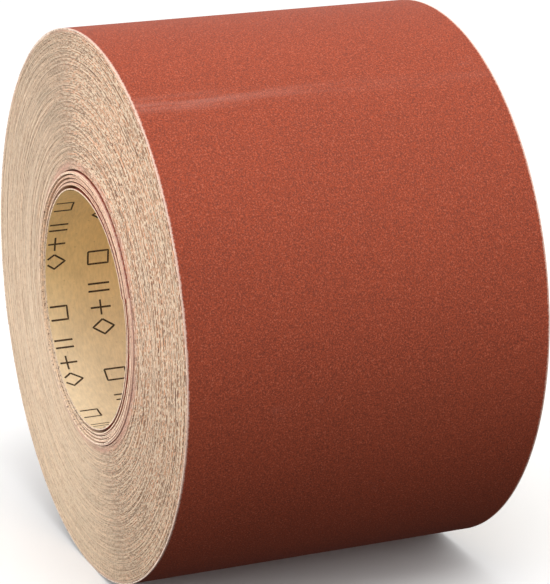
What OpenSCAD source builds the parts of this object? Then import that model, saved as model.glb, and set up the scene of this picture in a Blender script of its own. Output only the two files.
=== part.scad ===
// Coreless roll of abrasive paper: one long strip wound on itself, with the red-brown grit facing outwards
// and the tan paper of its backing facing inwards. The roll's axis lies along Y and passes through the
// origin, half-way along the roll. The front face is at -Y. The roll lies on its curved side, so +Z is up.
// Angles are seen from the front and run from +X towards +Z, the way the strip winds outwards.

/* [Roll] */
// Width of the strip, which is the roll's length along its axis
strip_width = 115; // [50:1:300]
// Outside radius at the free end of the strip
outer_r = 86; // [75:0.5:150]
// Radius of the hole inside the innermost turn
bore_r = 37.3; // [25:0.1:38]
// Radius at which the tight turns begin
pack_inner_r = 43.1; // [43.1:0.1:60]

/* [Strip] */
// Thickness of the backing paper
backing_t = 0.26; // [0.2:0.01:0.26]
// Thickness of the coat of abrasive grains
grit_t = 0.11; // [0.08:0.01:0.11]
// Growth of the radius in one turn of the tight winding
pitch = 0.378; // [0.375:0.001:0.38]

/* [Inner coils] */
// Angle of the inner end of each loose coil
inner_end_deg = 20; // [0:5:355]
// Number of coils that have come loose inside the roll
inner_coils = 5; // [1:1:5]
// Turns of the strip in each loose coil, from the innermost outwards
coil_turns = [1, 2, 2, 2, 2];
// Radial distance from one loose coil to the next
coil_pitch = 1.06; // [1.06:0.01:1.08]
// How far each loose coil stands out of the front face, from the innermost outwards
coil_out = [0.8, 0.5, 0.3, 0.5, 0.8];

/* [Free end] */
// Angle of the strip's free end
free_end_deg = 200; // [180:5:270]
// Number of hinged segments that stand for the flexible free end
tail_segments = 6; // [2:1:9]
// Room between the free end and the turn below it
tail_gap = 0.1; // [0.05:0.01:0.15]
// Gap between neighbouring segments, along the strip
segment_gap = 0.12; // [0.1:0.01:0.2]

/* [Closing tape] */
// Size of the tape along the roll's axis
tape_width = 36; // [12:1:50]
// Length of the tape around the roll
tape_length = 42; // [20:1:44]
// Thickness of the tape
tape_t = 0.15; // [0.1:0.01:0.3]

/* [Hidden] */
$fn = 96;
strip_t = backing_t + grit_t;
// The free end takes up the last quarter turn of the strip
tail_quarter = 3;
segment_deg = 90 / tail_segments;
gap_deg = segment_gap / outer_r * 180 / PI;
tape_deg = tape_length / 2 / outer_r * 180 / PI;

coil_ids = [1 : inner_coils];
tail_ids = [1 : tail_segments];
function coil_name(k, layer) = str("inner_coil_", k, "_", layer);
function tail_name(k, layer) = str("tail_", k, "_", layer);

function unit(a) = [cos(a), sin(a)];

// A spiral is drawn as quarter turns. Quarter q starts at free_end_deg + 90 * q, each quarter's radius is
// a quarter pitch larger than the one before, and its centre is moved so that the arcs join smoothly.
function quarter_centre(q) = pitch / 4 / sqrt(2) * unit(free_end_deg + 90 * q + 135);
function quarter_growth(q) = pitch / 4 * q;
function quarter_start(q) = free_end_deg + 90 * q;
// Outside radius of the outermost turn in quarter q; quarter 3 ends at the free end
function surface_r(q) = outer_r - quarter_growth(tail_quarter - q);

// The part of the plane between two angles, out to beyond the roll
module wedge(from_deg, to_deg) {
    steps = 3;
    turn = to_deg - from_deg;
    polygon(concat([[0, 0]], [for (i = [0 : steps]) 3 * outer_r * unit(from_deg + turn * i / steps)]));
}

// A stretch of the spiral inside quarter q, between two angles and two radii
module arc(q, r_in, r_out, from_deg, to_deg) {
    translate(quarter_centre(q)) intersection() {
        difference() {
            circle(r_out);
            if (r_in > 0) circle(r_in);
        }
        wedge(from_deg, to_deg);
    }
}

// Turns a flat outline, drawn as seen from the front, into a band along the roll
module band(width = strip_width, out = 0) {
    translate([0, -out, 0]) rotate([90, 0, 0]) linear_extrude(height = width, center = true) children();
}

// One layer of a coil of whole turns, with its inner surface starting at radius r
module coil(r, layer_t, turns) {
    rotate(inner_end_deg - free_end_deg)
        for (q = [0 : 4 * turns - 1])
            arc(q, r + quarter_growth(q), r + quarter_growth(q) + layer_t,
                quarter_start(q), quarter_start(q + 1));
}

// The tight turns, which touch each other all the way through
module wound_pack() {
    color("wheat") band() difference() {
        for (q = [0 : tail_quarter])
            arc(q, 0, surface_r(q) - strip_t - (q == tail_quarter ? tail_gap : 0),
                quarter_start(q), quarter_start(q + 1));
        circle(pack_inner_r);
    }
}

// One layer of the outermost turn, from below the free end round to where the free end begins
module outer_turn(below_surface, layer_t) {
    band() for (q = [0 : tail_quarter - 1])
        arc(q, surface_r(q) - below_surface, surface_r(q) - below_surface + layer_t,
            quarter_start(q), quarter_start(q + 1) - (q == tail_quarter - 1 ? gap_deg : 0));
}

module outer_turn_backing() {
    color("burlywood") outer_turn(strip_t, backing_t);
}

module outer_turn_grit() {
    color("sienna") outer_turn(grit_t, grit_t);
}

// Inner surface of loose coil k, counted from the bore outwards, where its inner end begins
function coil_r(k) = bore_r + (k - 1) * coil_pitch;

module coil_backing(k) {
    color("burlywood") band(out = coil_out[k - 1]) coil(coil_r(k), backing_t, coil_turns[k - 1]);
}

module coil_grit(k) {
    color("sienna") band(out = coil_out[k - 1]) coil(coil_r(k) + backing_t, grit_t, coil_turns[k - 1]);
}

// One layer of segment k of the free end, counted from where the free end leaves the roll
module tail_segment(k, r_out, layer_t) {
    from_deg = quarter_start(tail_quarter) + (k - 1) * segment_deg;
    band() arc(tail_quarter, r_out - layer_t, r_out, from_deg, from_deg + segment_deg - gap_deg);
}

module tail_backing(k) {
    color("burlywood") tail_segment(k, outer_r - grit_t, backing_t);
}

module tail_grit(k) {
    color("sienna") tail_segment(k, outer_r, grit_t);
}

// A stretch of the closing tape, level with the outside of the free end
module tape(from_deg, to_deg) {
    color("khaki") band(width = tape_width) arc(tail_quarter, outer_r, outer_r + tape_t, from_deg, to_deg);
}

module tape_on_tail() {
    free_end = free_end_deg + 360 - gap_deg;
    tape(free_end - tape_deg, free_end);
}

module tape_on_roll() {
    free_end = free_end_deg + 360;
    tape(free_end, free_end + tape_deg);
}

wound_pack();
outer_turn_backing();
outer_turn_grit();
for (k = coil_ids) {
    coil_backing(k);
    coil_grit(k);
}
for (k = tail_ids) {
    tail_backing(k);
    tail_grit(k);
}
tape_on_tail();
tape_on_roll();
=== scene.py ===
"""Visual model of a coreless roll of abrasive paper that lies on its curved side.

The strip is wound outwards as an Archimedean spiral. Winding angles are in degrees, seen from the front (-Y),
from +X towards +Z, and lengths are in millimetres until a mesh is made.
"""
import math
import bpy
import numpy as np
from mathutils import Matrix, Vector


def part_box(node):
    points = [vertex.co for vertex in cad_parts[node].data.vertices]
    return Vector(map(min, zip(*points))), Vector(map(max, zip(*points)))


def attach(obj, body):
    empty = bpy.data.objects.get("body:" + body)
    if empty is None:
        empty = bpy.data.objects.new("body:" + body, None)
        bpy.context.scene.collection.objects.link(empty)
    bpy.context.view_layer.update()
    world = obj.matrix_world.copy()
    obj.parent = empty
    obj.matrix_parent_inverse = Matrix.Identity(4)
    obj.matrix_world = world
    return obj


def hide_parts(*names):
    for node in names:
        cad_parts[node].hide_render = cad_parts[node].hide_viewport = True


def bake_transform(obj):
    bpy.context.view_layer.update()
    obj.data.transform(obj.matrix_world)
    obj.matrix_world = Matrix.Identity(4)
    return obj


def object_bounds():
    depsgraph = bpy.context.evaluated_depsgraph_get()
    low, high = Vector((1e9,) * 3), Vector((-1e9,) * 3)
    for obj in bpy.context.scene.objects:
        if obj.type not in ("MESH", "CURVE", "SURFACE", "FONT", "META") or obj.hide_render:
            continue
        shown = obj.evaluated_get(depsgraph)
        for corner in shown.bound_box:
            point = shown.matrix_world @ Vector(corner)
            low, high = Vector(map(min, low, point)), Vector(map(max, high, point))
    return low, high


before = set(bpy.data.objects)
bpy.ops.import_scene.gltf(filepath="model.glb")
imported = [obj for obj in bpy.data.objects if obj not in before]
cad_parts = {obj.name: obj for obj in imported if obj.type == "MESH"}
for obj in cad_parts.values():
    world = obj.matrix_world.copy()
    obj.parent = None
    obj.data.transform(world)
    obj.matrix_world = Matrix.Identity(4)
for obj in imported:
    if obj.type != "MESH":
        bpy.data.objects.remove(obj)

CAD_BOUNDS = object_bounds()
MM = 0.001

# The strip, as in the CAD source
PITCH = 0.378
BACKING_T = 0.26
GRIT_T = 0.11
STRIP_T = BACKING_T + GRIT_T
OUTER_R = 86.0
FREE_END = 560.0
TAIL_START = 470.0
SEGMENT = 15.0
TAIL_SEGMENTS = 6
GAP_DEG = math.degrees(0.12 / OUTER_R)
COIL_START = 20.0
COIL_TURNS = (1, 2, 2, 2, 2)
COIL_FIRST_R = 37.3
COIL_PITCH = 1.06
PACK_INNER_R = 43.1
TAPE_T = 0.15
HALF_TAPE = 21.0

# Degrees from one row of mesh points to the next, round the roll
STEP = 1.5
# Radius that stands for all the turns when a length along the strip is taken from an angle
MEAN_R = 64
# How far the coat of the outermost turn stays behind the cut edge of its paper
COAT_INSET = 0.02
# Random values in one table of wander()
TABLE_SIZE = 8192

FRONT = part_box("wound_pack")[0].y / MM
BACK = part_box("wound_pack")[1].y / MM


def surface_r(deg):
    """Outer surface of the strip where its winding angle is deg."""
    return OUTER_R + PITCH / 8 - PITCH * (FREE_END - deg) / 360


def angles(first, last, step=STEP):
    """Winding angles on the common grid that starts at the tail, with both ends included."""
    low = math.ceil((first - TAIL_START) / step + 1e-6)
    high = math.floor((last - TAIL_START) / step - 1e-6)
    inner = [TAIL_START + step * i for i in range(low, high + 1)]
    return np.array([first] + inner + [last])


def wander(x, seed):
    """Smooth noise between -1 and 1, from random values at the whole numbers of x."""
    table = np.random.default_rng(seed).uniform(-1, 1, TABLE_SIZE)
    cell = np.floor(x).astype(int)
    f = x - cell
    f = f * f * (3 - 2 * f)
    return table[cell % TABLE_SIZE] * (1 - f) + table[(cell + 1) % TABLE_SIZE] * f


# ---------------------------------------------------------------- meshes

def make_object(name, points, faces, smooth_deg=35):
    mesh = bpy.data.meshes.new(name)
    mesh.from_pydata((np.asarray(points) * MM).tolist(), [], faces)
    mesh.validate()
    mesh.polygons.foreach_set("use_smooth", [True] * len(mesh.polygons))
    mesh.set_sharp_from_angle(angle=math.radians(smooth_deg))
    mesh.update()
    obj = bpy.data.objects.new(name, mesh)
    bpy.context.scene.collection.objects.link(obj)
    return obj


def polar(r, deg, y):
    a = np.radians(deg)
    return np.stack([r * np.cos(a), np.broadcast_to(y, np.shape(a)), r * np.sin(a)], axis=-1)


def strip(name, deg, r_in, r_out, front, back):
    """A closed band with a rectangular section, from the first angle to the last."""
    r_in, r_out, front, back = (np.broadcast_to(v, deg.shape) for v in (r_in, r_out, front, back))
    section = ((r_in, front), (r_out, front), (r_out, back), (r_in, back))
    points = np.stack([polar(r, deg, y) for r, y in section], axis=1).reshape(-1, 3)
    faces = []
    for i in range(len(deg) - 1):
        a, b = 4 * i, 4 * (i + 1)
        for m in range(4):
            n = (m + 1) % 4
            faces.append((a + m, a + n, b + n, b + m))
    end = 4 * (len(deg) - 1)
    faces.append((3, 2, 1, 0))
    faces.append((end, end + 1, end + 2, end + 3))
    obj = make_object(name, points, faces)
    across = obj.data.attributes.new("across_strip", "FLOAT", "POINT")
    across.data.foreach_set("value", np.tile([0.0, 0.0, 1.0, 1.0], len(deg)).astype(np.float32))
    return obj


def edge_fray(deg, r, seed, size=0.02):
    """How far a cut edge of paper stands out, along its length."""
    arc = np.radians(deg) * r
    return size * (0.6 * wander(arc / 1.7, seed) + 0.4 * wander(arc / 9.0, seed + 1))


def face_height(deg, seed):
    """How far the strip's cut edge stands out of the end face, along the whole winding: ragged paper, single
    turns that stand out for a while, and groups of turns that shifted together."""
    around = np.radians(deg)
    turn = deg / 360
    sway = 0.9 * np.sin(around + 1.3) + 0.6 * np.sin(2 * around + 0.4)
    return (0.045 * wander(around * MEAN_R / 1.9, seed)
            + 0.060 * wander(turn * 3.3, seed + 1)
            + 0.115 * wander(turn * 0.41 + sway, seed + 2)
            + 0.09 * wander(turn * 0.12 + 0.4 * sway, seed + 3))


def wound_turns(name, first_deg, turns, seed_front, seed_back):
    """A stretch of the tight winding as one closed mesh. Each turn has a rounded paper edge, an edge of grit
    that is chipped away below it, and a narrow crevice with a flat floor before the next turn."""
    per_turn = round(360 / STEP)
    count = round(per_turn * turns)
    stations = first_deg + STEP * np.arange(count + per_turn + 1)
    # Distances out from the inner side of the paper: its rounded edge and its top, the start and the end of
    # the chipped slope, and both sides of the crevice's floor
    rails = (0.0, 0.080, 0.180, 0.246, 0.262, 0.366)
    rounding = 0.035

    def face_rows(seed, y_face, outward):
        """The rows of points on one end face, from the paper's inner edge to the far side of the crevice."""
        top = face_height(stations, seed)
        arc = np.radians(stations) * MEAN_R
        ragged = 0.5 + 0.5 * wander(arc / 1.9, seed + 11)
        chipped = 0.055 + 0.060 * ragged
        crevice = 0.14 + 0.24 * (0.5 + 0.5 * wander(arc / 3.3, seed + 12))
        next_top = np.append(top[per_turn:], top[-per_turn:])
        low = np.minimum(top, next_top[:len(top)]) - crevice
        heights = (top - rounding, top, top - 0.01, top - chipped, low, low)
        base = surface_r(stations) - STRIP_T
        out = []
        for m, (w, h) in enumerate(zip(rails, heights)):
            last = len(stations) if m == 0 else count + 1
            out.append(polar((base + w)[:last], stations[:last], (y_face + outward * h)[:last]))
        return out

    sides = [face_rows(seed_front, FRONT, -1), face_rows(seed_back, BACK, 1)]
    starts, points, total = [], [], 0
    for rows in sides:
        row_starts = []
        for row in rows:
            row_starts.append(total)
            points.append(row)
            total += len(row)
        starts.append(row_starts)

    def vertex(s, m, i):
        """Index of point i of row m on face s. The row after the last is the first row of the next turn."""
        return starts[s][0] + i + per_turn if m == len(rails) else starts[s][m] + i

    faces = []
    for i in range(count):
        for m in range(len(rails)):
            corners = ((m, i), (m + 1, i), (m + 1, i + 1), (m, i + 1))
            faces.append(tuple(vertex(0, *corner) for corner in corners))
            faces.append(tuple(vertex(1, *corners[c]) for c in (0, 3, 2, 1)))
    for i in range(per_turn):
        faces.append((vertex(0, 0, i), vertex(0, 0, i + 1), vertex(1, 0, i + 1), vertex(1, 0, i)))
        j, m = count - per_turn + i, len(rails)
        faces.append((vertex(0, m, j + 1), vertex(0, m, j), vertex(1, m, j), vertex(1, m, j + 1)))
    for m in range(len(rails)):
        for i, low, high in ((0, m + 1, m), (count, m, m + 1)):
            faces.append((vertex(0, low, i), vertex(0, high, i), vertex(1, high, i), vertex(1, low, i)))
    return make_object(name, np.concatenate(points), faces, 25)


# ---------------------------------------------------------------- materials

class Nodes:
    """Builds one material's node tree."""

    def __init__(self, name):
        self.material = bpy.data.materials.new(name)
        self.material.use_nodes = True
        self.tree = self.material.node_tree
        self.shader = self.tree.nodes["Principled BSDF"]
        self.place = self.add("ShaderNodeTexCoord").outputs["Object"]

    def add(self, kind, **settings):
        node = self.tree.nodes.new(kind)
        for key, value in settings.items():
            setattr(node, key, value)
        return node

    def put(self, socket, value):
        if isinstance(value, bpy.types.NodeSocket):
            self.tree.links.new(value, socket)
        elif value is not None:
            socket.default_value = value

    def math(self, operation, a, b=None):
        node = self.add("ShaderNodeMath", operation=operation)
        self.put(node.inputs[0], a)
        self.put(node.inputs[1], b)
        return node.outputs[0]

    def axes(self):
        node = self.add("ShaderNodeSeparateXYZ")
        self.put(node.inputs[0], self.place)
        return node.outputs

    def vector(self, x, y, z):
        node = self.add("ShaderNodeCombineXYZ")
        for socket, value in zip(node.inputs, (x, y, z)):
            self.put(socket, value)
        return node.outputs[0]

    def noise(self, vector, scale, detail=2.0, roughness=0.5):
        node = self.add("ShaderNodeTexNoise")
        self.put(node.inputs["Vector"], vector)
        node.inputs["Scale"].default_value = scale
        node.inputs["Detail"].default_value = detail
        node.inputs["Roughness"].default_value = roughness
        return node.outputs["Fac"]

    def window(self, value, low, high, to_low=0.0, to_high=1.0):
        node = self.add("ShaderNodeMapRange", interpolation_type="SMOOTHSTEP")
        for key, part in (("Value", value), ("From Min", low), ("From Max", high),
                          ("To Min", to_low), ("To Max", to_high)):
            self.put(node.inputs[key], part)
        return node.outputs[0]

    def mix(self, factor, a, b, blend="MIX"):
        node = self.add("ShaderNodeMix", data_type="RGBA", blend_type=blend)
        self.put(node.inputs["Factor"], factor)
        for key, value in (("A", a), ("B", b)):
            socket = [s for s in node.inputs if s.name == key and s.type == "RGBA"][0]
            self.put(socket, (*value, 1.0) if isinstance(value, tuple) else value)
        return [s for s in node.outputs if s.type == "RGBA"][0]

    def shade(self, color, factor):
        """color times a factor that varies over the surface."""
        return self.mix(1.0, color, self.vector(factor, factor, factor), "MULTIPLY")

    def bump(self, height, strength, distance, normal=None):
        node = self.add("ShaderNodeBump")
        node.inputs["Strength"].default_value = strength
        node.inputs["Distance"].default_value = distance
        self.put(node.inputs["Height"], height)
        self.put(node.inputs["Normal"], normal)
        return node.outputs[0]

    def from_cut_edge(self):
        """Distance in metres from the nearer of the strip's own cut edges."""
        part = self.add("ShaderNodeAttribute", attribute_name="across_strip").outputs["Fac"]
        nearer = self.math("MINIMUM", part, self.math("SUBTRACT", 1.0, part))
        return self.math("MULTIPLY", nearer, (BACK - FRONT) * MM)

    def radius(self):
        x, y, z = self.axes()
        return self.math("SQRT", self.math("ADD", self.math("MULTIPLY", x, x), self.math("MULTIPLY", z, z)))

    def finish(self, color, roughness, normal, specular=0.5):
        self.put(self.shader.inputs["Base Color"], color)
        self.put(self.shader.inputs["Roughness"], roughness)
        self.put(self.shader.inputs["Normal"], normal)
        self.shader.inputs["Specular IOR Level"].default_value = specular
        return self.material


def abrasive_coat(name="abrasive_coat", chipped_to=0.85):
    """Fine red-brown grain in resin, chipped and dusty along the cut edges, down to chipped_to millimetres
    from them."""
    n = Nodes(name)
    x, y, z = n.axes()
    grain = n.noise(n.place, 2300, 1.0, 0.6)
    clumps = n.noise(n.place, 1500, 2.0, 0.6)
    clouds = n.noise(n.place, 26, 3.0, 0.5)
    tone = n.math("ADD", n.window(grain, 0.3, 0.7, 0.68, 1.30), n.window(clumps, 0.3, 0.7, -0.10, 0.08))
    color = n.shade((0.321, 0.0512, 0.0180), n.math("ADD", tone, n.window(clouds, 0.3, 0.7, -0.025, 0.025)))
    glints = n.window(n.noise(n.place, 2300, 0.0), 0.66, 0.78)
    color = n.mix(n.math("MULTIPLY", glints, 0.24), color, (0.58, 0.23, 0.15))
    # A faint painted highlight in a line along the axis, at this angle and this wide on either side, and a
    # few short scuffs
    highlight_angle, highlight_reach = 1.018, 0.058
    angle = n.math("ARCTAN2", z, x)
    off_highlight = n.math("ABSOLUTE", n.math("SUBTRACT", angle, highlight_angle))
    line = n.math("SUBTRACT", 1.0, n.window(off_highlight, 0.0, highlight_reach))
    highlight_breakup = n.math("MULTIPLY", n.window(n.noise(n.vector(0.0, y, angle), 35, 2.0), 0.25, 0.66),
                    n.window(y, -0.052, 0.015, 1.0, 0.20))
    scuff = n.window(n.noise(n.place, 48, 4.0, 0.6), 0.66, 0.76)
    # The painted highlight line plus the real scuffs, as lighter colour mixed into the coat
    rubbed = n.math("ADD", n.math("MULTIPLY", n.math("MULTIPLY", line, highlight_breakup), 0.18),
                    n.math("MULTIPLY", scuff, 0.07))
    color = n.mix(rubbed, color, (0.62, 0.36, 0.31))
    # Both cut edges, where the grain has chipped off in flakes
    flakes = n.window(n.noise(n.place, 1400, 2.0, 0.6), 0.36, 0.62, 0.60, 1.0)
    ragged = n.math("DIVIDE", n.from_cut_edge(), n.math("MULTIPLY", flakes, MM))
    worn = n.window(ragged, 0.18 * chipped_to, chipped_to, 0.86, 0.0)
    color = n.mix(worn, color, (0.87, 0.60, 0.49))
    rough = n.window(clumps, 0.3, 0.7, 0.78, 0.92)
    normal = n.bump(grain, 0.55, 0.00008, n.bump(clumps, 0.35, 0.00012))
    return n.finish(color, rough, normal, 0.50)


def backing_paper(name="backing_paper", edge=(0.90, 0.78, 0.66), edge_to=0.30, top_edge=None):
    """Tan kraft paper with faint fibres and cloudy tone. Its edge colour reaches edge_to millimetres in, and
    may be another one at the top of the bore."""
    n = Nodes(name)
    x, y, z = n.axes()
    fibres = n.noise(n.vector(n.math("MULTIPLY", x, 0.35), y, n.math("MULTIPLY", z, 0.35)), 1500, 3.0, 0.6)
    clouds = n.noise(n.place, 75, 4.0, 0.6)
    mottle = n.noise(n.place, 420, 3.0, 0.6)
    tone = n.math("ADD", n.window(fibres, 0.3, 0.7, 0.94, 1.06), n.window(clouds, 0.3, 0.7, -0.06, 0.05))
    # The faces low in the bore, which face upwards, are painted paler than the rest: painted light, for the
    # whitish sheen on the bore's lower wall
    color = n.mix(n.window(z, -0.038, 0.012), (0.925, 0.750, 0.515), (0.880, 0.635, 0.300))
    color = n.shade(color, n.math("ADD", tone, n.window(mottle, 0.3, 0.7, -0.03, 0.03)))
    flecks = n.window(n.noise(n.place, 900, 1.0), 0.72, 0.80)
    color = n.mix(n.math("MULTIPLY", flecks, 0.30), color, (0.40, 0.25, 0.12))
    # Cut edges show the paler inside of the paper, with dark grit dust here and there
    cut = n.window(n.from_cut_edge(), 0.18 * edge_to * MM, edge_to * MM, 1.0, 0.0)
    if top_edge:
        edge = n.mix(n.window(z, 0.012, 0.034), edge, top_edge)
    speckle = n.noise(n.place, 1050, 1.0)
    edge = n.shade(edge, n.window(speckle, 0.35, 0.65, 1.15, 0.80))
    color = n.mix(n.math("MULTIPLY", cut, 0.85), color, edge)
    dust = n.window(n.noise(n.place, 1100, 1.0), 0.60, 0.68)
    color = n.mix(n.math("MULTIPLY", n.math("MULTIPLY", cut, dust), 0.75), color, (0.20, 0.085, 0.040))
    rough = n.window(fibres, 0.3, 0.7, 0.52, 0.66)
    normal = n.bump(fibres, 0.25, 0.00004, n.bump(mottle, 0.15, 0.0001))
    return n.finish(color, rough, normal, 0.35)


def wound_edges():
    """Cut edges of the tight turns: pale paper, and brown grit with dark dashes and white chips in rings."""
    n = Nodes("wound_edges")
    x, y, z = n.axes()
    radius = n.radius()
    drift = n.math("MULTIPLY", n.math("ARCTAN2", z, x), PITCH * MM / (2 * math.pi))
    start = (surface_r(0) - STRIP_T) % PITCH
    turn = n.math("DIVIDE", n.math("SUBTRACT", n.math("SUBTRACT", radius, drift), start * MM), PITCH * MM)
    across = n.math("FRACT", turn)

    def ring_noise(along, inward, detail, stretch=1.0):
        """Noise with the given scales per metre along the turns and across them."""
        place = n.vector(n.math("MULTIPLY", x, along), n.math("MULTIPLY", z, along),
                         n.math("MULTIPLY", radius, inward))
        return n.noise(place, stretch, detail)

    # Rings of turns painted a little darker or paler than their neighbours, with more or fewer dark dashes
    # and pale chips: painted shade for turns that stand out a little more or less
    swayed = n.math("ADD", radius, n.window(n.noise(n.place, 18, 1.0), 0.3, 0.7, -0.0012, 0.0012))
    rings = n.noise(n.vector(0.0, 0.0, n.math("MULTIPLY", swayed, 1600)), 1.0, 0.0)
    rings = n.window(rings, 0.36, 0.64, -1.0, 1.0)
    ring_shade_bias = n.math("MULTIPLY", rings, 0.095)
    fluff = n.noise(n.place, 1700, 2.0, 0.6)
    streaks = ring_noise(60, 1100, 2.0)
    strands = ring_noise(70, 2650, 0.0)
    grains = n.math("ADD", ring_noise(560, 1250, 1.0), ring_shade_bias)
    dark = n.window(grains, 0.53, 0.60)
    pale = n.window(n.math("SUBTRACT", ring_noise(560, 1750, 1.0, 1.37), ring_shade_bias), 0.52, 0.60)
    crevice_shade = n.window(grains, 0.42, 0.54, 0.50, 1.0)

    tone = n.math("ADD", n.window(fluff, 0.3, 0.7, 0.94, 1.05), n.window(streaks, 0.3, 0.7, -0.06, 0.06))
    tone = n.math("ADD", tone, n.window(strands, 0.25, 0.75, -0.06, 0.06))
    # The paper takes the painted ring shade too
    paper = n.shade((0.780, 0.612, 0.440), n.math("SUBTRACT", tone, n.math("MULTIPLY", rings, 0.035)))
    paper = n.mix(n.math("MULTIPLY", dark, 0.30), paper, (0.46, 0.25, 0.14))
    # The grit's edge is dark where it shows whole, and pale where it has chipped off the paper
    grit = n.shade((0.53, 0.225, 0.110), n.math("ADD", n.window(streaks, 0.3, 0.7, 0.75, 1.25),
                                               n.window(strands, 0.25, 0.75, -0.35, 0.35)))
    grit = n.mix(dark, grit, (0.175, 0.046, 0.016))
    grit = n.mix(n.math("MULTIPLY", pale, 0.95), grit, (0.98, 0.81, 0.63))
    is_grit = n.math("MULTIPLY", n.window(across, 0.44, 0.54), n.window(across, 0.95, 0.97, 1.0, 0.0))
    color = n.mix(is_grit, paper, grit)
    # The crevice between two turns shows bare grit, painted nearly black in patches: painted shade for the
    # crevice's own shadow
    crevice = n.math("MULTIPLY", n.window(across, 0.67, 0.72), n.window(across, 0.955, 0.975, 1.0, 0.0))
    color = n.mix(n.math("MULTIPLY", crevice, crevice_shade), color, (0.120, 0.028, 0.009))
    # Pink grit dust near the outside and near the loose coils
    rims = n.math("ADD", n.window(radius, 0.0843, 0.0856), n.window(radius, 0.0436, 0.0462, 1.0, 0.0))
    patches = n.window(ring_noise(90, 600, 2.0), 0.40, 0.60, 0.18, 0.50)
    color = n.mix(n.math("MULTIPLY", rims, patches), color, (0.78, 0.43, 0.34))
    rough = n.math("SUBTRACT", n.window(fluff, 0.3, 0.7, 0.80, 0.95), n.math("MULTIPLY", is_grit, 0.15))
    normal = n.bump(dark, 0.25, 0.00012, n.bump(fluff, 0.30, 0.0001))
    return n.finish(color, rough, normal, 0.24)


def closing_tape():
    """Creped paper tape, with fine wrinkles across its length."""
    n = Nodes("closing_tape")
    x, y, z = n.axes()
    crepe = n.noise(n.vector(x, n.math("MULTIPLY", y, 0.22), z), 1300, 3.0, 0.6)
    clouds = n.noise(n.place, 120, 3.0, 0.5)
    color = n.shade((0.79, 0.66, 0.42), n.math("ADD", n.window(crepe, 0.3, 0.7, 0.88, 1.06),
                                              n.window(clouds, 0.3, 0.7, -0.04, 0.04)))
    rough = n.window(crepe, 0.3, 0.7, 0.60, 0.78)
    return n.finish(color, rough, n.bump(crepe, 0.7, 0.00012), 0.35)


def printed_ink():
    """Thin brown-black ink, patchy where the paper's fibres show through."""
    n = Nodes("printed_ink")
    patches = n.noise(n.place, 1500, 3.0, 0.6)
    color = n.mix(n.window(patches, 0.35, 0.75), (0.036, 0.020, 0.010), (0.13, 0.080, 0.038))
    return n.finish(color, n.window(patches, 0.3, 0.7, 0.55, 0.75), n.bump(patches, 0.2, 0.00003), 0.3)


def floor_paper():
    n = Nodes("floor_paper")
    clouds = n.noise(n.place, 3.0, 2.0, 0.5)
    color = n.shade((0.93, 0.93, 0.93), n.window(clouds, 0.3, 0.7, 0.985, 1.0))
    return n.finish(color, 0.9, None, 0.1)


# ---------------------------------------------------------------- pieces

def dress(obj, material, slot_name, body, *nodes):
    """Material, body and CAD nodes of a piece that moves with one body. slot_name is not used."""
    obj.data.materials.append(material)
    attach(obj, body)
    if nodes:
        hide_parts(*nodes)


def build_tight_turns(material):
    """The tight turns in zones, from the round wall of the pack out to where the outer strip begins."""
    zones = 4
    seed_front, seed_back = 10, 60
    last = TAIL_START - 360
    # Rounded up unless less than a tenth of a turn is left over, so the winding starts at the pack's wall or
    # less than a turn inside it
    round_up = 0.4
    whole = round((surface_r(COIL_START) - STRIP_T - PACK_INNER_R) / PITCH + round_up)
    total = whole + (last - COIL_START) / 360
    first = last - 360 * total
    for k in range(zones):
        turns = whole // zones if k < zones - 1 else total - (zones - 1) * (whole // zones)
        obj = wound_turns(f"tight_turns_{k + 1}", first, turns, seed_front, seed_back)
        dress(obj, material, "wound_edges", "roll", "wound_pack")
        first += 360 * turns


def outermost(name, layer, deg):
    """One layer of the outermost turn or of the free end, between the first angle and the last."""
    outer = surface_r(deg)
    front = FRONT - edge_fray(deg, OUTER_R, 101)
    back = BACK + edge_fray(deg, OUTER_R, 102)
    if layer == "backing":
        return strip(name, deg, outer - STRIP_T, outer - GRIT_T, front, back)
    return strip(name, deg, outer - GRIT_T, outer, front + COAT_INSET, back - COAT_INSET)


def build_outer_turn(backing, grit):
    """The outermost turn, up to where the free end begins."""
    deg = angles(TAIL_START - 360, TAIL_START - GAP_DEG)
    obj = outermost("outer_turn_paper", "backing", deg)
    dress(obj, backing, "backing_paper", "roll", "outer_turn_backing")
    obj = outermost("outer_turn_coat", "grit", deg)
    dress(obj, grit, "abrasive_coat", "roll", "outer_turn_grit")


def build_tail(backing, grit):
    """The free end. Each piece runs from the middle of one hinged segment to the middle of the next."""
    middles = [TAIL_START + SEGMENT * (k + 0.5) for k in range(TAIL_SEGMENTS)]
    cuts = [TAIL_START - GAP_DEG] + middles + [FREE_END - GAP_DEG]
    layers = (("backing", backing, "backing_paper"), ("grit", grit, "abrasive_coat"))
    for layer, material, slot_name in layers:
        for k in range(TAIL_SEGMENTS + 1):
            obj = outermost(f"free_end_{layer}_{k + 1}", layer, angles(cuts[k], cuts[k + 1], STEP / 2))
            obj.data.materials.append(material)
            if k < TAIL_SEGMENTS:
                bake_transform(obj)
                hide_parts(f"tail_{k + 1}_{layer}")
            else:
                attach(obj, f"tail_{TAIL_SEGMENTS}")


def sag(deg, k):
    """How far loose coil k hangs down near the top of the bore, less for the outer ones."""
    most = (1.15, 1.0, 0.85, 0.65, 0.40)[k - 1]
    middle, narrowing = 78, 1.35
    from_middle = (np.asarray(deg) - middle + 180) % 360 - 180
    return most * np.cos(np.radians(np.clip(from_middle * narrowing, -90, 90))) ** 2


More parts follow.
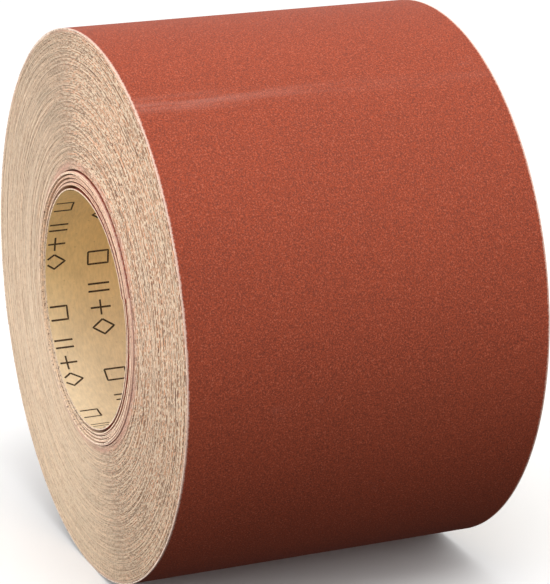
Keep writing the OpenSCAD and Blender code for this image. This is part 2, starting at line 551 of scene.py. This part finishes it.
def coil_shape(k):
    """Angles, inner radii and front and back edges of loose coil k."""
    turns = COIL_TURNS[k - 1]
    deg = COIL_START + STEP * np.arange(round(360 / STEP) * turns + 1)
    wound = (deg - COIL_START) / 360
    # All but the innermost lie a little further out than in the CAD source, close to the turns outside them
    slack = 0.0 if k == 1 else 0.22
    inner = COIL_FIRST_R + COIL_PITCH * (k - 1) - PITCH / 8 + PITCH * wound + slack - sag(deg, k)
    low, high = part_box(f"inner_coil_{k}_backing")
    # Each coil steps back a little as it winds outwards, and wanders on the way
    lean = 0.20 * wander(wound * 2.2, 300 + k) - 0.24 * (wound - turns / 2)
    mean_r, fray = 40, 0.09
    front = low.y / MM - lean - edge_fray(deg, mean_r, 200 + k, fray)
    back = high.y / MM - lean + edge_fray(deg, mean_r, 250 + k, fray)
    return deg, inner, front, back


def build_inner_coils():
    """The loose coils. The innermost shows its clean wall in the bore, and the others have dusty edges. The
    coat of the outermost one has rubbed against the tight turns and is chipped further in."""
    grit, rubbed = abrasive_coat("loose_coat", 0.25), abrasive_coat("rubbed_coat", 1.0)
    clean = backing_paper("bore_paper", (0.93, 0.75, 0.57))
    dusty = backing_paper("dusty_paper", (0.93, 0.72, 0.51), 1.5, (0.80, 0.53, 0.37))
    pale = backing_paper("pale_paper", (0.94, 0.75, 0.56), 1.5)
    papers = (clean, dusty, dusty, dusty, pale)
    coats = (grit, grit, grit, grit, rubbed)
    inset = 0.03
    for k, (paper, coat) in enumerate(zip(papers, coats), 1):
        deg, inner, front, back = coil_shape(k)
        middle, outer = inner + BACKING_T, inner + STRIP_T
        body = f"inner_coil_{k}"
        obj = strip(f"loose_coil_{k}_paper", deg, inner, middle, front, back)
        dress(obj, paper, "backing_paper", body, f"{body}_backing")
        obj = strip(f"loose_coil_{k}_coat", deg, middle, outer, front + inset, back - inset)
        dress(obj, coat, "abrasive_coat", body, f"{body}_grit")


def glyph_lines(kind):
    """Centre lines of one plain printed mark. u runs round the roll and v along its axis, from -1 to 1."""
    if kind == "box":
        return [[(-0.8, -0.9), (0.8, -0.9), (0.8, 0.9), (-0.8, 0.9), (-0.8, -0.9)]]
    if kind == "bars":
        return [[(-0.45, -0.95), (-0.45, 0.95)], [(0.45, -0.95), (0.45, 0.95)]]
    if kind == "cross":
        return [[(-0.9, 0), (0.9, 0)], [(0, -0.9), (0, 0.9)]]
    return [[(-0.9, 0), (0, 0.95), (0.9, 0), (0, -0.95), (-0.9, 0)]]


def ink_stroke(line, front, points, faces, wall_r):
    """Adds closed ribbons of ink along a line of (arc, y) points on the bore's wall, up to the front edge."""
    width, rise, sunk, longest_piece = 0.6, 0.03, 0.02, 0.6
    line = np.array(line)
    fine = [line[0]]
    for a, b in zip(line[:-1], line[1:]):
        pieces = max(1, math.ceil(np.linalg.norm(b - a) / longest_piece))
        fine += [a + (b - a) * t / pieces for t in range(1, pieces + 1)]
    fine = np.array(fine)
    run = np.gradient(fine, axis=0)
    run /= np.linalg.norm(run, axis=1)[:, None]
    side = np.stack([-run[:, 1], run[:, 0]], axis=1) * width / 2
    kept = fine[:, 1] > front
    stretches = np.split(np.arange(len(fine)), np.flatnonzero(np.diff(kept)) + 1)
    for stretch in stretches:
        if not kept[stretch[0]] or len(stretch) < 2:
            continue
        first, n = len(points), len(stretch)
        for sign, depth in ((1, -sunk), (-1, -sunk), (-1, rise), (1, rise)):
            flat = (fine + sign * side)[stretch]
            deg = np.degrees(flat[:, 0] / COIL_FIRST_R)
            points.extend(polar(wall_r(deg) - depth, deg, flat[:, 1]).tolist())
        for m in range(4):
            a, b = first + m * n, first + (m + 1) % 4 * n
            faces.extend((a + i, b + i, b + i + 1, a + i + 1) for i in range(n - 1))
        faces.append(tuple(first + m * n for m in (3, 2, 1, 0)))
        faces.append(tuple(first + m * n + n - 1 for m in range(4)))


def build_printed_marks(ink):
    """Rows of plain marks printed on the paper, seen on the bore's wall. Each row repeats a group of marks,
    and every other row is shifted round."""
    low, high = (v.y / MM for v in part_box("inner_coil_1_backing"))
    group_deg, group_of = 61.1, (("box", 0.0), ("bars", 15.4), ("cross", 25.4), ("diamond", 35.1))
    first_group, row_shift = 138.3, 35.2
    row_pitch, first_row, half_u, half_v = 14.8, low + 3.2, 2.7, 3.8
    front = low + 0.7
    edge = math.degrees((half_u + 0.5) / COIL_FIRST_R)

    def wall_r(deg):
        turned = (deg - COIL_START) % 360
        return COIL_FIRST_R - PITCH / 8 + PITCH * turned / 360 - sag(deg, 1)

    points, faces = [], []
    row = 0
    while first_row + row * row_pitch + half_v < high:
        phase = first_group + row_shift * (row % 2)
        for group in range(-2, 4):
            for kind, offset in group_of:
                centre = phase + group_deg * group + offset
                if not COIL_START + edge < centre < COIL_START + 360 - edge:
                    continue
                arc, y = math.radians(centre) * COIL_FIRST_R, first_row + row * row_pitch
                for line in glyph_lines(kind):
                    flat = [(arc + half_u * u, y + half_v * v) for u, v in line]
                    ink_stroke(flat, front, points, faces, wall_r)
        row += 1
    obj = make_object("printed_marks", points, faces)
    dress(obj, ink, "backing_paper", "inner_coil_1")


def build_tape(material):
    """The closing tape: one half on the free end, and one that steps down from it onto the turn below."""
    low, high = (v.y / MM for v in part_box("tape_on_tail"))
    length, fine_step = math.degrees(HALF_TAPE / OUTER_R), 0.5
    end = FREE_END - GAP_DEG

    def torn_edge(deg):
        """How far the tape's edge wanders to one side, along its length."""
        return 0.25 * wander(np.radians(deg) * OUTER_R / 1.3, 400)

    deg = angles(end - length, end, fine_step)
    outer = surface_r(deg)
    edge = torn_edge(deg)
    obj = strip("tape_on_free_end", deg, outer, outer + TAPE_T, low + edge, high + edge)
    dress(obj, material, "closing_tape", "tail_6", "tape_on_tail")
    deg = angles(end, end + length, fine_step)
    step_deg, clearance = 1.2, 0.02
    past = np.clip((deg - end) / step_deg, 0, 1)
    drop = (PITCH - clearance) * past * past * (3 - 2 * past)
    base = surface_r(np.full(deg.shape, end)) + PITCH * (deg - end) / 360 - drop
    edge = torn_edge(deg)
    obj = strip("tape_on_roll_side", deg, base, base + TAPE_T, low + edge, high + edge)
    obj.data.materials.append(material)
    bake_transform(obj)
    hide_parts("tape_on_roll")


# ---------------------------------------------------------------- studio

def build_floor():
    """A pale table under the roll."""
    low = CAD_BOUNDS[0].z
    size = 4.0
    mesh = bpy.data.meshes.new("floor")
    corners = [(-size, -size, low), (size, -size, low), (size, size, low), (-size, size, low)]
    mesh.from_pydata(corners, [], [(0, 1, 2, 3)])
    obj = bpy.data.objects.new("floor", mesh)
    bpy.context.scene.collection.objects.link(obj)
    obj.data.materials.append(floor_paper())
    obj.visible_diffuse = False
    obj.visible_glossy = False


def build_sky():
    """A soft dome: bright above, dim below the horizon."""
    world = bpy.data.worlds.new("studio")
    bpy.context.scene.world = world
    world.use_nodes = True
    nodes, links = world.node_tree.nodes, world.node_tree.links
    place = nodes.new("ShaderNodeTexCoord").outputs["Generated"]
    split = nodes.new("ShaderNodeSeparateXYZ")
    links.new(place, split.inputs[0])
    rise = nodes.new("ShaderNodeMapRange")
    rise.interpolation_type = "SMOOTHSTEP"
    links.new(split.outputs["Z"], rise.inputs["Value"])
    for key, value in (("From Min", -0.12), ("From Max", 0.12), ("To Min", 0.05), ("To Max", 1.0)):
        rise.inputs[key].default_value = value
    links.new(rise.outputs[0], nodes["Background"].inputs["Strength"])
    nodes["Background"].inputs["Color"].default_value = (1.0, 0.995, 0.985, 1.0)


def build_lamp(name, place, facing, size, power, color=(1.0, 1.0, 1.0)):
    data = bpy.data.lights.new(name, "AREA")
    data.shape = "DISK"
    data.size = size
    data.energy = power
    data.color = color
    obj = bpy.data.objects.new(name, data)
    bpy.context.scene.collection.objects.link(obj)
    obj.location = place
    obj.rotation_euler = (-Vector(facing)).to_track_quat("Z", "Y").to_euler()
    obj.visible_camera = False


def build_lamps():
    """A lamp above, a lamp in front, and a pale card on the table that throws light up into the bore."""
    distance = 1.6
    above = Vector((0.44, 0.0, 1.0)).normalized() * distance
    before = Vector((0.06, -1.0, 0.24)).normalized() * distance
    build_lamp("top_light", above, -above, 1.0, 10.3)
    build_lamp("front_light", before, -before, 0.85, 9.9)
    card = (-0.06, -0.34, CAD_BOUNDS[0].z + 0.001)
    build_lamp("table_card", card, (0, 0, 1), 0.46, 0.62, (0.86, 0.90, 1.0))


def build_camera():
    """The camera looks across the roll from the front right and a little above."""
    azimuth, elevation = math.radians(66.90), math.radians(17.12)
    level = Vector((math.sin(azimuth), -math.cos(azimuth), 0))
    back = level * math.cos(elevation) + Vector((0, 0, math.sin(elevation)))
    right = Vector((math.cos(azimuth), math.sin(azimuth), 0))
    up = back.cross(right)
    data = bpy.data.cameras.new("camera")
    data.sensor_width, data.lens = 36, 167.79
    data.clip_end = 20
    obj = bpy.data.objects.new("camera", data)
    bpy.context.scene.collection.objects.link(obj)
    # The camera's place, in radii of the roll
    away, aside, lift = 9.99059, 0.0616881, -0.021108
    place = (away * back + aside * right + lift * up) * OUTER_R * MM
    obj.matrix_world = Matrix.Translation(place) @ Matrix((right, up, back)).transposed().to_4x4()
    bpy.context.scene.camera = obj


def main():
    backing, grit = backing_paper(), abrasive_coat()
    build_tight_turns(wound_edges())
    build_outer_turn(backing, grit)
    build_tail(backing, grit)
    build_inner_coils()
    build_printed_marks(printed_ink())
    build_tape(closing_tape())
    build_floor()
    build_sky()
    build_lamps()
    build_camera()
    bpy.context.scene.view_settings.view_transform = "Standard"


main()
